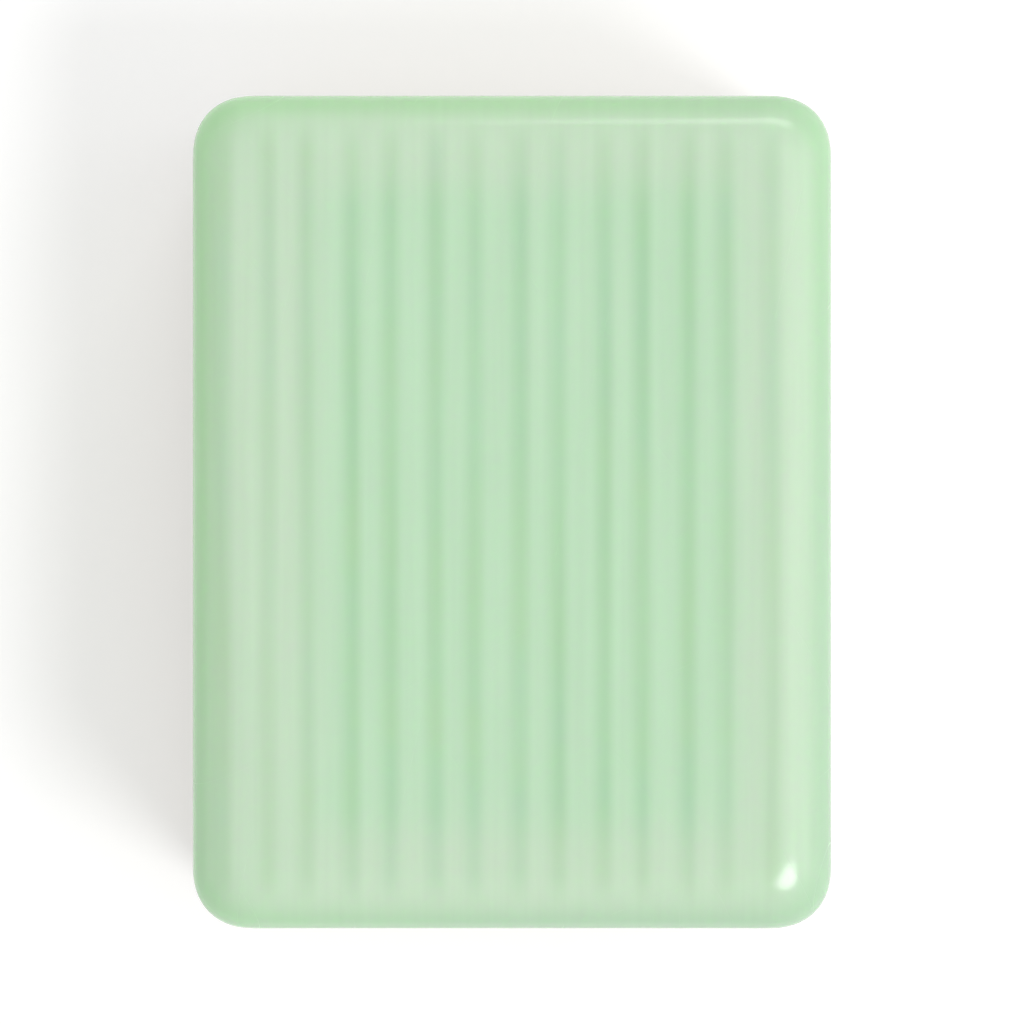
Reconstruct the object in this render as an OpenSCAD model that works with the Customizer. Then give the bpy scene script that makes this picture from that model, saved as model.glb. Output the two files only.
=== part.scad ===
// Mahjong tile in two tones, lying on its engraved face with the coloured back up.
// X runs along the short side, Y along the long side and Z from the face to the back.
// The origin is the centre of the face, so the tile stands on z = 0.
// From the back down it is a translucent cap, a white ribbed core that keys into it, a thin frame
// of adhesive round the core, and the face block with enamel in its engraving.

/* [Tile] */
// Width across the short side
tile_w = 23; // [19:0.5:32]
// Length along the long side
tile_l = 30; // [26:0.5:42]
// Thickness from the engraved face to the back
tile_t = 14; // [12:0.5:24]
// Radius of the four upright corners
corner_r = 2; // [1.2:0.1:3]
// Radius of the soft edges round the face and round the back, at most the corner radius
edge_r = 1.8; // [0.6:0.1:2.4]

/* [Back cap] */
// Height of the coloured back layer
back_t = 4.8; // [4.2:0.1:7]
// Thickness of the back over the tops of the ribs
skin_t = 1.6; // [1.2:0.1:2]
// Wall of the back along each long side
side_wall = 1.5; // [1.2:0.1:2.4]
// Wall of the back at each short end
end_wall = 1.2; // [0.8:0.1:2.4]

/* [Ribbed core] */
// Distance from one rib to the next
rib_pitch = 3; // [2.4:0.1:4]
// Width of a rib at its top
rib_top_w = 1.45; // [0.8:0.05:1.6]
// Width of a rib at its root
rib_root_w = 1.8; // [1.7:0.1:2.2]
// Height of the ribs above the core plate
rib_h = 1.2; // [0.6:0.1:1.5]
// Radius of the core plate's corners
core_corner_r = 1; // [0.4:0.1:1.6]
// Number of keys across the underside of the core
key_count = 3; // [2:1:4]
// Width of a key at its tip
key_tip_w = 2; // [1:0.1:2.4]
// Width of a key at its root
key_root_w = 2.6; // [2.5:0.1:3.2]
// Height of the keys below the core plate
key_h = 1.2; // [0.6:0.1:2]

/* [Bond frame] */
// Thickness of the adhesive between the cap and the face block
bond_t = 0.1; // [0.05:0.05:0.3]
// Distance that the adhesive stays back from the outside
bond_inset = 0.1; // [0.05:0.05:0.4]

/* [Face] */
// Depth of the engraving
engrave_d = 0.35; // [0.3:0.05:0.6]
// Thickness of the enamel in the engraving
enamel_t = 0.25; // [0.1:0.05:0.3]
// Bare margin between the soft edge and the circles, along each long side
pip_side_margin = 0.9; // [0.3:0.1:1.5]
// Bare margin between the soft edge and the circles, at each short end
pip_end_margin = 1.5; // [0.3:0.1:2]
// Gap between two circles of a row
pip_gap = 0.7; // [0.3:0.1:1.2]
// Width of the ring of a circle
ring_w = 0.6; // [0.3:0.05:0.8]
// Diameter of a petal
petal_d = 0.7; // [0.3:0.05:0.8]
// Petals round each centre dot
petal_count = 8; // [5:1:8]
// Diameter of the centre dot
dot_d = 1.2; // [0.6:0.1:1.4]

/* [Fits] */
// Clearance of the core in the cap and in the face block
fit_gap = 0.05; // [0.02:0.01:0.1]
// Clearance of the enamel from the walls of its engraving
enamel_gap = 0.02; // [0.01:0.01:0.05]

/* [Hidden] */
$fn = 64;
// Overrun of the cuts, so that no cut ends flush with a face
overrun = 0.5;

rim_r = min(edge_r, corner_r);

// Heights of the joints, from the face up
face_t = tile_t - back_t - bond_t;
cap_z = face_t + bond_t;
rib_top_z = tile_t - skin_t - fit_gap;
rib_z = rib_top_z - rib_h;
plate_t = rib_z - face_t;

// The core fills the cap inside its walls, and as many ribs as fit stand on it
core_w = tile_w - 2 * (side_wall + fit_gap);
core_l = tile_l - 2 * (end_wall + fit_gap);
rib_count = floor((core_w - rib_root_w) / rib_pitch) + 1;
key_pitch = core_l / key_count;

// Rows and columns of circles, named as they are seen by someone who looks at the face
ROW_NAMES = ["top", "middle", "bottom"];
COL_NAMES = ["left", "centre", "right"];
pip_rows = len(ROW_NAMES);
pip_cols = len(COL_NAMES);
function pip_name(piece, row, col) = str(piece, "_", ROW_NAMES[row], "_", COL_NAMES[col]);

// The circles fill the flat part of the face inside its margins
pip_span_w = tile_w - 2 * (rim_r + pip_side_margin);
pip_span_l = tile_l - 2 * (rim_r + pip_end_margin);
pip_d = (pip_span_w - (pip_cols - 1) * pip_gap) / pip_cols;
pip_pitch_x = pip_d + pip_gap;
pip_pitch_y = (pip_span_l - pip_d) / (pip_rows - 1);
petal_ring_r = ((pip_d / 2 - ring_w) + dot_d / 2) / 2;

// Colours of the moulded pieces, and of the enamel from the top row to the bottom row
back_green = "#bfe0be";
core_white = "#eef0e6";
adhesive = "#e3e6d6";
face_ivory = "#f4f1e4";
ROW_COLOURS = ["#1d6a45", "#b22a2c", "#1f4484"];

// What is cut off a square corner to leave it round, with the centre of the rounding at the origin
module corner_notch(r) {
    difference() {
        square(r + overrun);
        circle(r);
    }
}

module rounded_rectangle(w, l, r) {
    difference() {
        square([w, l], center = true);
        for (over_x = [0, 1], over_y = [0, 1])
            mirror([over_x, 0])
                mirror([0, over_y])
                    translate([w / 2 - r, l / 2 - r])
                        corner_notch(r);
    }
}

// Section through the rim of the tile, from the axis of a corner out to the wall
module rim_section(h) {
    difference() {
        square([corner_r, h]);
        translate([corner_r - rim_r, h - rim_r])
            corner_notch(rim_r);
    }
}

// Block with the tile's plan, flat below and with soft edges above: a middle, four sides, four corners
module soft_block(h) {
    span_w = tile_w - 2 * corner_r;
    span_l = tile_l - 2 * corner_r;
    translate([-span_w / 2, -span_l / 2, 0])
        cube([span_w, span_l, h]);
    for (turn = [0 : 3]) {
        on_long_side = turn % 2 == 0;
        out = (on_long_side ? span_w : span_l) / 2;
        along = on_long_side ? span_l : span_w;
        rotate(90 * turn)
            translate([out, 0, 0]) {
                rotate([90, 0, 0])
                    linear_extrude(along, center = true)
                        rim_section(h);
                translate([0, along / 2, 0])
                    rotate_extrude(angle = 90)
                        rim_section(h);
            }
    }
}

// Bar along Y that narrows from its root on z = 0 to its top, as moulded ribs do
module tapered_bar(root_w, top_w, h, l) {
    rotate([90, 0, 0])
        linear_extrude(l, center = true)
            polygon([[-root_w / 2, 0], [root_w / 2, 0], [top_w / 2, h], [-top_w / 2, h]]);
}

// All the ribs side by side, or with a gap the grooves that take them
module ribs(gap) {
    for (i = [0 : rib_count - 1])
        translate([(i - (rib_count - 1) / 2) * rib_pitch, 0, 0])
            tapered_bar(rib_root_w + 2 * gap, rib_top_w + 2 * gap, rib_h + gap, core_l + 2 * gap);
}

// All the keys across the tile, or with a gap the slots that take them
module keys(gap) {
    for (i = [0 : key_count - 1])
        translate([0, (i - (key_count - 1) / 2) * key_pitch, 0])
            rotate([180, 0, 90])
                tapered_bar(key_root_w + 2 * gap, key_tip_w + 2 * gap, key_h + gap, core_w + 2 * gap);
}

module core_plate(gap, h) {
    linear_extrude(h)
        rounded_rectangle(core_w + 2 * gap, core_l + 2 * gap, core_corner_r + gap);
}

// Puts a circle of the engraving in its row and column
module at_pip(row, col) {
    translate([((pip_cols - 1) / 2 - col) * pip_pitch_x, ((pip_rows - 1) / 2 - row) * pip_pitch_y, 0])
        children();
}

// One circle's ring, petals or dot: the gap is zero for the cut and the clearance for the enamel
module ring_shape(gap) {
    difference() {
        circle(pip_d / 2 - gap);
        circle(pip_d / 2 - ring_w + gap);
    }
}

module petals_shape(gap) {
    for (i = [0 : petal_count - 1])
        rotate(360 * i / petal_count)
            translate([petal_ring_r, 0])
                circle(petal_d / 2 - gap);
}

module dot_shape(gap) {
    circle(dot_d / 2 - gap);
}

module engraving() {
    translate([0, 0, -overrun])
        linear_extrude(engrave_d + overrun) {
            ring_shape(0);
            petals_shape(0);
            dot_shape(0);
        }
}

module enamel(row) {
    color(ROW_COLOURS[row])
        translate([0, 0, engrave_d - enamel_t])
            linear_extrude(enamel_t)
                children();
}

// Translucent green back: a shallow cap whose pocket takes the core plate and whose roof is grooved
module back_cap() {
    color(back_green)
        difference() {
            translate([0, 0, cap_z])
                soft_block(back_t);
            translate([0, 0, cap_z - overrun])
                core_plate(fit_gap, rib_z - cap_z + overrun);
            translate([0, 0, rib_z])
                ribs(fit_gap);
        }
}

// White insert: ribs key it to the cap above, cross keys key it to the face block below
module ribbed_core() {
    color(core_white) {
        translate([0, 0, face_t])
            core_plate(0, plate_t);
        translate([0, 0, rib_z])
            ribs(0);
        translate([0, 0, face_t])
            keys(0);
    }
}

// Adhesive round the core, between the rim of the cap and the face block
module bond_frame() {
    color(adhesive)
        translate([0, 0, face_t])
            linear_extrude(bond_t)
                difference() {
                    rounded_rectangle(
                        tile_w - 2 * bond_inset, tile_l - 2 * bond_inset, corner_r - bond_inset
                    );
                    rounded_rectangle(
                        core_w + 2 * fit_gap, core_l + 2 * fit_gap, core_corner_r + fit_gap
                    );
                }
}

// Ivory face block, soft edges down, with slots for the keys above and the engraving below
module face_block() {
    color(face_ivory)
        difference() {
            translate([0, 0, face_t])
                mirror([0, 0, 1])
                    soft_block(face_t);
            translate([0, 0, face_t])
                keys(fit_gap);
            for (row = [0 : pip_rows - 1], col = [0 : pip_cols - 1])
                at_pip(row, col)
                    engraving();
        }
}

module ring_of_pip(row, col) {
    at_pip(row, col)
        enamel(row)
            ring_shape(enamel_gap);
}

module petals_of_pip(row, col) {
    at_pip(row, col)
        enamel(row)
            petals_shape(enamel_gap);
}

module dot_of_pip(row, col) {
    at_pip(row, col)
        enamel(row)
            dot_shape(enamel_gap);
}

back_cap();
ribbed_core();
bond_frame();
face_block();
for (row = [0 : pip_rows - 1], col = [0 : pip_cols - 1]) {
    ring_of_pip(row, col);
    petals_of_pip(row, col);
    dot_of_pip(row, col);
}
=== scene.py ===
# %% [markdown]
# # A two-tone mahjong tile
#
# A modern tile is a small block of plastic in two tones. The coloured back hides which tile it is,
# the pale block under it carries the engraved face, and a ribbed white insert locks the two together.
# Here the tile lies on its face, so the green back is what the camera looks at.
#
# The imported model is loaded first, because it fixes every size and place. The looks are then built
# in its own frame, in metres, so no piece has to be fitted by eye. The other way would be to model
# freely and scale at the end, which always leaves gaps between pieces that should touch.

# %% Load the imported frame
import math

import bmesh
import bpy
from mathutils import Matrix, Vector


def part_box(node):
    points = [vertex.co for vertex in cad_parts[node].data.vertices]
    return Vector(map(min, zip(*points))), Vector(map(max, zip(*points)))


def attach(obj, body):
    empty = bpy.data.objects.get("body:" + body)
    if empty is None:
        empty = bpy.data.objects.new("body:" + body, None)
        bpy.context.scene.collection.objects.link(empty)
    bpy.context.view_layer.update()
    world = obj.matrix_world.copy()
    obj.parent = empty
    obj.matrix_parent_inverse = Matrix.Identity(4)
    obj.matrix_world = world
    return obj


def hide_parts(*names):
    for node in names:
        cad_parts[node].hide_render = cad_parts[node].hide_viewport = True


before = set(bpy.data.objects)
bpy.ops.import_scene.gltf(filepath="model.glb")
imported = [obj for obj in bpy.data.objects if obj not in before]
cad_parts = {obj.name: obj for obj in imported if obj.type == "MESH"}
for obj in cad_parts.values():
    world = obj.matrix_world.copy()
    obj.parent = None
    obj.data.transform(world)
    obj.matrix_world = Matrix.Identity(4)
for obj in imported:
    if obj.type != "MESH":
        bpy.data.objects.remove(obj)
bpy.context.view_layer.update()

BODY = "root"

# %% Read the sizes that the looks follow
MM = 0.001
cap_lo, cap_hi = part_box("back_cap")
core_lo, core_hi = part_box("ribbed_core")
bond_lo, bond_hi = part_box("bond_frame")
block_lo, block_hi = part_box("face_block")
HALF_W, HALF_L, BACK_Z = cap_hi
FACE_Z = block_lo.z
print(f"tile: {2 * HALF_W / MM:.1f} x {2 * HALF_L / MM:.1f} x {BACK_Z / MM:.1f} mm")

# %% [markdown]
# ## The outer form
#
# Tiles are moulded a little large, then tumbled with stones and polish until the edges feel soft.
# Tumbling takes more off a corner than off an edge, so the rim is not one radius everywhere.
# A bevel modifier gives one radius, and a subdivided cube gives no control over where the flat ends.
# So the form is lofted from level loops, like the contour lines of a hill: each loop is a rounded
# rectangle, set in and raised along a quarter of an ellipse. All loops have the same number of
# points, and the loft only has to join each point to its neighbour above.

# %% One contour loop
ARC_STEPS = 14
SIDE_STEPS = 16
# A tumbled corner bends gently at first: power 2 is a true arc, and a higher one starts sooner.
# The reach makes it take as much off the corner as an arc does.
CORNER_POWER = 2.3
CORNER_REACH = (1 - 2 ** (-1 / 2)) / (1 - 2 ** (-1 / CORNER_POWER))


def eased(part):
    """Bends a cosine or sine so that a quarter turn of them leaves the straight sides gently."""
    return math.copysign(abs(part) ** (2 / CORNER_POWER), part)


def contour(half_w, half_l, radius, z):
    """Rounded rectangle at height z, anticlockwise, with the same number of points at any size."""
    reach = radius * CORNER_REACH
    arcs = []
    for quarter, (side_x, side_y) in enumerate(((1, 1), (-1, 1), (-1, -1), (1, -1))):
        centre = Vector((side_x * (half_w - reach), side_y * (half_l - reach), z))
        turns = [math.radians(90 * (quarter + step / ARC_STEPS)) for step in range(ARC_STEPS + 1)]
        arcs.append([centre + reach * Vector((eased(math.cos(a)), eased(math.sin(a)), 0)) for a in turns])
    # Points on a side crowd towards its ends, so that the corner's rounding isn't smeared along it
    shares = [(1 - math.cos(math.pi * step / SIDE_STEPS)) / 2 for step in range(1, SIDE_STEPS)]
    points = []
    for arc, following in zip(arcs, arcs[1:] + arcs[:1]):
        points += arc + [arc[-1].lerp(following[0], share) for share in shares]
    return points


print(f"contour: {len(contour(HALF_W, HALF_L, MM, 0))} points")

# %% Join loops into a skin, and make a piece of it
# Faces that meet at more than this angle keep a sharp edge between them
CREASE_DEG = 35


def loft(form, loops, closed=False):
    """Joins each loop of points to the next with quads, and returns the rings of vertices."""
    rings = [[form.verts.new(point) for point in loop] for loop in loops]
    following = rings[1:] + rings[:1] if closed else rings[1:]
    for lower, upper in zip(rings, following):
        for i in range(len(lower)):
            j = (i + 1) % len(lower)
            form.faces.new((lower[i], lower[j], upper[j], upper[i]))
    return rings


def new_piece(name, form, crease_deg=CREASE_DEG):
    """Makes the form a piece of the scene, with outward faces, smooth up to the crease angle."""
    bmesh.ops.recalc_face_normals(form, faces=form.faces)
    mesh = bpy.data.meshes.new(name)
    form.to_mesh(mesh)
    form.free()
    mesh.shade_smooth()
    mesh.set_sharp_from_angle(angle=math.radians(crease_deg))
    piece = bpy.data.objects.new(name, mesh)
    bpy.context.scene.collection.objects.link(piece)
    return piece


# %% Loft one half of the tile
# The plan's corner radius, and how far the soft rim reaches in over the flat and down the wall
CORNER_R = 2.0 * MM
RIM_REACH = 2.2 * MM
RIM_DROP = 1.75 * MM
RIM_STEPS = 18
# What is left of the corner radius at the top of the rim, so that corners are softer than edges
RIM_TOP_CORNER_R = 1.2 * MM
# The moulded edge at the seam is broken by the finest of chamfers
SEAM_CHAMFER = 0.03 * MM
WALL_ROWS = 4
# The back is not dead flat: polishing leaves its middle a little proud of its rim
CROWN = 0.1 * MM
# Sizes of the loops that fill the flat, as shares of the rim's innermost loop
INNER_SHARES = (0.93, 0.84, 0.72, 0.58, 0.43, 0.28, 0.14, 0.05)


def sunk(points, depth):
    """Lowers points by that depth at the tile's corners, and by less towards its middle."""
    for point in points:
        point.z -= depth * ((point.x / HALF_W) ** 2 + (point.y / HALF_L) ** 2) / 2
    return points


def half_tile(seam_z, far_z, crown):
    """Closed form from the flat seam to the soft-edged far side, which lies above or below it."""
    up = 1 if far_z > seam_z else -1
    wall_z = far_z - up * RIM_DROP
    first_z = seam_z + up * SEAM_CHAMFER
    loops = [contour(HALF_W - SEAM_CHAMFER, HALF_L - SEAM_CHAMFER, CORNER_R - SEAM_CHAMFER, seam_z)]
    for row in range(WALL_ROWS):
        z = first_z + (wall_z - first_z) * row / WALL_ROWS
        loops.append(contour(HALF_W, HALF_L, CORNER_R, z))
    for step in range(RIM_STEPS + 1):
        turn = math.radians(90 * step / RIM_STEPS)
        inset = RIM_REACH * (1 - math.cos(turn))
        radius = CORNER_R + (RIM_TOP_CORNER_R - CORNER_R) * inset / RIM_REACH
        z = far_z - up * RIM_DROP * (1 - math.sin(turn))
        rim = contour(HALF_W - inset, HALF_L - inset, radius, z)
        loops.append(sunk(rim, up * crown * math.sin(turn)))
    for share in INNER_SHARES:
        half_w, half_l = (HALF_W - RIM_REACH) * share, (HALF_L - RIM_REACH) * share
        loops.append(sunk(contour(half_w, half_l, RIM_TOP_CORNER_R * share, far_z), up * crown))

    form = bmesh.new()
    rings = loft(form, loops)
    form.faces.new(rings[0])
    form.faces.new(rings[-1])
    return form


# %% [markdown]
# ## The green back
#
# The back is a shallow cap of translucent acrylic. Its underside has a pocket for the core's plate,
# and grooves for the core's ribs. The hollow could be left out, since the cap hides it, but the
# piece is also kept as a mesh of its own, and a cap without its pocket would be a solid block with
# another block inside it. A cutter of the core's section, one clearance larger, makes the pocket
# with a Boolean, which is how the mould's insert makes it too.

# %% Tapered bars, for grooves and for slots


def in_a_row(count, pitch):
    """Places of that many like things, one pitch apart about the middle of the tile."""
    return [(i - (count - 1) / 2) * pitch for i in range(count)]


def bar(form, centre, along, root_w, tip_w, root_z, tip_z):
    """Bar through centre, lengthwise along that vector, tapering from its root to its tip."""
    across = Vector((along.y, -along.x, 0)).normalized()
    section = ((-root_w, root_z), (root_w, root_z), (tip_w, tip_z), (-tip_w, tip_z))
    loops = [
        [end + across * width / 2 + Vector((0, 0, z)) for width, z in section]
        for end in (centre - along / 2, centre + along / 2)
    ]
    for ring in loft(form, loops):
        form.faces.new(ring)


# %% Cut one form out of another
# Where edges of two meshes almost meet, a cut leaves faces thinner than this, which are merged away
SLIVER = 0.0005 * MM


def cut(piece, cutter_form, name):
    """Takes the cutter away from the piece and keeps the result as the piece's own mesh."""
    cutter = new_piece(name, cutter_form)
    boolean = piece.modifiers.new(name, "BOOLEAN")
    boolean.operation = "DIFFERENCE"
    boolean.solver = "EXACT"
    boolean.object = cutter
    evaluated = piece.evaluated_get(bpy.context.evaluated_depsgraph_get())
    result = bpy.data.meshes.new_from_object(evaluated)
    piece.modifiers.remove(boolean)
    form = bmesh.new()
    form.from_mesh(result)
    bmesh.ops.dissolve_degenerate(form, dist=SLIVER, edges=form.edges)
    form.to_mesh(result)
    form.free()
    old, piece.data = piece.data, result
    bpy.data.meshes.remove(old)
    bpy.data.meshes.remove(cutter.data)


# %% Build the cap
# Clearance round the core, and how far a cutter starts outside the face that it goes in by
FIT_GAP = 0.05 * MM
OVERRUN = 0.5 * MM
CORE_CORNER_R = 1.0 * MM
RIB_COUNT = 7
RIB_PITCH = 3.0 * MM
RIB_TOP_W = 1.45 * MM
RIB_ROOT_W = 1.8 * MM
RIB_H = 1.2 * MM
core_w, core_l = 2 * core_hi.x, 2 * core_hi.y
rib_root_z = core_hi.z - RIB_H

cap = new_piece("back_cap_moulding", half_tile(cap_lo.z, cap_hi.z, CROWN))

pocket = bmesh.new()
pocket_edge = (core_w / 2 + FIT_GAP, core_l / 2 + FIT_GAP, CORE_CORNER_R + FIT_GAP)
for ring in loft(pocket, [contour(*pocket_edge, z) for z in (cap_lo.z - OVERRUN, rib_root_z)]):
    pocket.faces.new(ring)
cut(cap, pocket, "pocket")

grooves = bmesh.new()
groove_along = Vector((0, core_l + 2 * FIT_GAP, 0))
groove_root_w, groove_top_w = RIB_ROOT_W + 2 * FIT_GAP, RIB_TOP_W + 2 * FIT_GAP
groove_root_z, groove_top_z = rib_root_z - FIT_GAP, core_hi.z + FIT_GAP
for x in in_a_row(RIB_COUNT, RIB_PITCH):
    middle = Vector((x, 0, 0))
    bar(grooves, middle, groove_along, groove_root_w, groove_top_w, groove_root_z, groove_top_z)
cut(cap, grooves, "grooves")
print(f"back cap: {len(cap.data.polygons)} faces, {RIB_COUNT} grooves")

# %% [markdown]
# ## The face block
#
# The pale block is two thirds of the tile. Three slots in its top take the core's keys, and its face
# carries nine engraved circles, a traditional pattern. A small cutter turns each ring, petal and dot
# to one depth. It leaves a floor with round corners, and polishing rounds the lip. The engraving is
# turned on a lathe here too: one section is spun about each centre, and all ninety cuts are then made
# in one Boolean. A bump map would be cheaper, but paint has to lie in a real hollow.

# %% Places of the circles, read from the frame
ENAMEL_GAP = 0.02 * MM
RING_W = 0.6 * MM
PETAL_COUNT = 8
PETAL_R = 0.35 * MM
# Enamel colour of each row of circles
ROWS = {"top": "green", "middle": "red", "bottom": "blue"}
COLUMNS = ("left", "centre", "right")


def circle_of(row, column):
    """Centre of a circle, and the radii of its ring, of the ring of petals and of its dot."""
    ring_lo, ring_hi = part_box(f"ring_{row}_{column}")
    petals_lo, petals_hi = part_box(f"petals_{row}_{column}")
    dot_lo, dot_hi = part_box(f"dot_{row}_{column}")
    centre = (ring_lo + ring_hi) / 2
    ring_r = (ring_hi.x - ring_lo.x) / 2 + ENAMEL_GAP
    petals_r = (petals_hi.x - petals_lo.x) / 2 + ENAMEL_GAP - PETAL_R
    dot_r = (dot_hi.x - dot_lo.x) / 2 + ENAMEL_GAP
    return Vector((centre.x, centre.y, 0)), ring_r, petals_r, dot_r


ENGRAVE_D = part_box("ring_top_left")[1].z - FACE_Z
print(f"engraving: {ENGRAVE_D / MM:.2f} mm deep, ring radius {circle_of('top', 'left')[1] / MM:.2f} mm")

# %% Spin a section about a centre
RING_TURNS = 72
PETAL_TURNS = 24
DOT_TURNS = 36


def spin(form, section, centre, turns, closed):
    """Revolves points (radius, height): a closed section makes a ring, an open one starts on the axis."""
    rows = []
    for radius, z in section:
        angles = [2 * math.pi * turn / turns for turn in range(turns)] if radius > 0 else [0]
        rows.append([
            form.verts.new(centre + Vector((radius * math.cos(a), radius * math.sin(a), z)))
            for a in angles
        ])
    following = rows[1:] + rows[:1] if closed else rows[1:]
    for near, far in zip(rows, following):
        for i in range(turns):
            j = (i + 1) % turns
            corners = [near[i % len(near)], near[j % len(near)], far[j % len(far)], far[i % len(far)]]
            form.faces.new(list(dict.fromkeys(corners)))


# %% Section of a cut
# The lip that polishing rounds, and the round corner that the cutter leaves at the floor
LIP_R = 0.05 * MM
FLOOR_R = 0.08 * MM
ROUND_STEPS = 3
QUARTER_TURN = [math.radians(90 * step / ROUND_STEPS) for step in range(ROUND_STEPS + 1)]


def foot(wall, floor_z, out):
    """Round corner from a wall to the floor; out is 1 for an outer wall, -1 for an inner."""
    return [
        (wall - out * FLOOR_R * (1 - math.cos(a)), floor_z - FLOOR_R * (1 - math.sin(a)))
        for a in QUARTER_TURN
    ]


def cut_wall(radius, out):
    """One wall of a cut, from above the face over its lip and down to the floor."""
    above = [(radius + out * LIP_R, FACE_Z - OVERRUN)]
    lip = [
        (radius + out * LIP_R * (1 - math.sin(a)), FACE_Z + LIP_R * (1 - math.cos(a)))
        for a in QUARTER_TURN
    ]
    return above + lip + foot(radius, FACE_Z + ENGRAVE_D, out)


def cut_disc(form, centre, radius, turns):
    section = [(0, FACE_Z - OVERRUN)] + cut_wall(radius, 1) + [(0, FACE_Z + ENGRAVE_D)]
    spin(form, section, centre, turns, closed=False)


def cut_ring(form, centre, radius):
    section = cut_wall(radius, 1) + cut_wall(radius - RING_W, -1)[::-1]
    spin(form, section, centre, RING_TURNS, closed=True)


def petal_centres(centre, petals_r):
    """Centres of the petals round the centre of a circle."""
    angles = [2 * math.pi * i / PETAL_COUNT for i in range(PETAL_COUNT)]
    return [centre + petals_r * Vector((math.cos(a), math.sin(a), 0)) for a in angles]


# %% Build the face block
KEY_COUNT = 3
KEY_TIP_W = 2.0 * MM
KEY_ROOT_W = 2.6 * MM

block = new_piece("face_block_moulding", half_tile(block_hi.z, block_lo.z, 0))

slots = bmesh.new()
slot_along = Vector((core_w + 2 * FIT_GAP, 0, 0))
slot_root_w, slot_tip_w = KEY_ROOT_W + 2 * FIT_GAP, KEY_TIP_W + 2 * FIT_GAP
for y in in_a_row(KEY_COUNT, core_l / KEY_COUNT):
    middle = Vector((0, y, 0))
    bar(slots, middle, slot_along, slot_root_w, slot_tip_w, block_hi.z, core_lo.z - FIT_GAP)
    bar(slots, middle, slot_along, slot_root_w, slot_root_w, block_hi.z + OVERRUN, block_hi.z)
cut(block, slots, "slots")

engraving = bmesh.new()
for row in ROWS:
    for column in COLUMNS:
        centre, ring_r, petals_r, dot_r = circle_of(row, column)
        cut_ring(engraving, centre, ring_r)
        cut_disc(engraving, centre, dot_r, DOT_TURNS)
        for petal_centre in petal_centres(centre, petals_r):
            cut_disc(engraving, petal_centre, PETAL_R, PETAL_TURNS)
cut(block, engraving, "engraving")
print(f"face block: {len(block.data.polygons)} faces")

# %% [markdown]
# ## The enamel
#
# The engraving is filled with enamel by hand and wiped. Wet enamel creeps up the walls and dries
# thinner in the middle, so its surface is dished, and light catches the raised edge. Each ring, set of
# petals and dot is a closed film with that dish. They are spun from one section, like the cuts that
# they fill, rather than lofted one by one.

# %% Section of the dried film
FILM_GAP = 0.01 * MM
FILM_FLOOR_Z = FACE_Z + ENGRAVE_D - FILM_GAP
# The wet edge stays this far below the face, and the middle dries down to this depth
CREEP_D = 0.05 * MM
DISH_D = 0.12 * MM
# The higher this power, the closer the creep stays to the wall
CREEP_POWER = 3
DISH_STEPS = 6


def film_half(radius, middle, out):
    """Half of the film's section, from its floor to the middle of its dished surface."""
    wall = radius - out * FILM_GAP
    section = foot(wall, FILM_FLOOR_Z, out)[::-1]
    for step in range(DISH_STEPS):
        share = step / DISH_STEPS
        depth = DISH_D + (CREEP_D - DISH_D) * (1 - share) ** CREEP_POWER
        section.append((wall + (middle - wall) * share, FACE_Z + depth))
    return section


def film_disc(form, centre, radius, turns):
    section = [(0, FILM_FLOOR_Z)] + film_half(radius, 0, 1) + [(0, FACE_Z + DISH_D)]
    spin(form, section, centre, turns, closed=False)


def film_ring(form, centre, radius):
    middle = radius - RING_W / 2
    outer, inner = film_half(radius, middle, 1), film_half(radius - RING_W, middle, -1)
    spin(form, outer + [(middle, FACE_Z + DISH_D)] + inner[::-1], centre, RING_TURNS, closed=True)


# %% Build the twenty-seven films
# A film's round foot is smooth, and only its edge at the wall is sharp
FILM_CREASE_DEG = 60

films = {}
for row in ROWS:
    for column in COLUMNS:
        centre, ring_r, petals_r, dot_r = circle_of(row, column)
        forms = {"ring": bmesh.new(), "petals": bmesh.new(), "dot": bmesh.new()}
        film_ring(forms["ring"], centre, ring_r)
        film_disc(forms["dot"], centre, dot_r, DOT_TURNS)
        for petal_centre in petal_centres(centre, petals_r):
            film_disc(forms["petals"], petal_centre, PETAL_R, PETAL_TURNS)
        for part, form in forms.items():
            node = f"{part}_{row}_{column}"
            films[node] = new_piece(f"enamel_{node}", form, FILM_CREASE_DEG)
print(f"enamel: {len(films)} films")

# %% [markdown]
# ## The adhesive and the core
#
# A thin frame of adhesive holds the cap to the block outside the core. It cures with a hollow edge,
# which is the hairline that runs round the tile. A groove cut into both halves would read as a gap,
# so the frame is its own piece, a few hundredths of a millimetre back from the polished walls.
# The core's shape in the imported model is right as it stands: it keeps its mesh and gets its finish.

# %% Build the adhesive frame
BEAD_INSET = 0.015 * MM
BEAD_HOLLOW = 0.03 * MM
BEAD_ROWS = 6

bead_loops = []
for step in range(BEAD_ROWS + 1):
    share = step / BEAD_ROWS
    inset = BEAD_INSET + BEAD_HOLLOW * math.sin(math.pi * share)
    z = bond_lo.z + (bond_hi.z - bond_lo.z) * share
    bead_loops.append(contour(HALF_W - inset, HALF_L - inset, CORNER_R - inset, z))
bead_loops.append(contour(*pocket_edge, bond_hi.z))
bead_loops.append(contour(*pocket_edge, bond_lo.z))
bead_form = bmesh.new()
loft(bead_form, bead_loops, closed=True)
bead = new_piece("adhesive_bead", bead_form)
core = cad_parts["ribbed_core"]
print(f"adhesive bead: {len(bead.data.polygons)} faces, core: {len(core.data.polygons)} faces")

# %% [markdown]
# ## Materials
#
# All the finishes are painted with nodes in the tile's own coordinates, so they stay on it from any
# side and need no unwrapping. The sizes of their patterns are in millimetres. Colours are written as
# they look on a screen, and turned to linear light by one function, because the renderer adds and
# multiplies light and not screen values.

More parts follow.
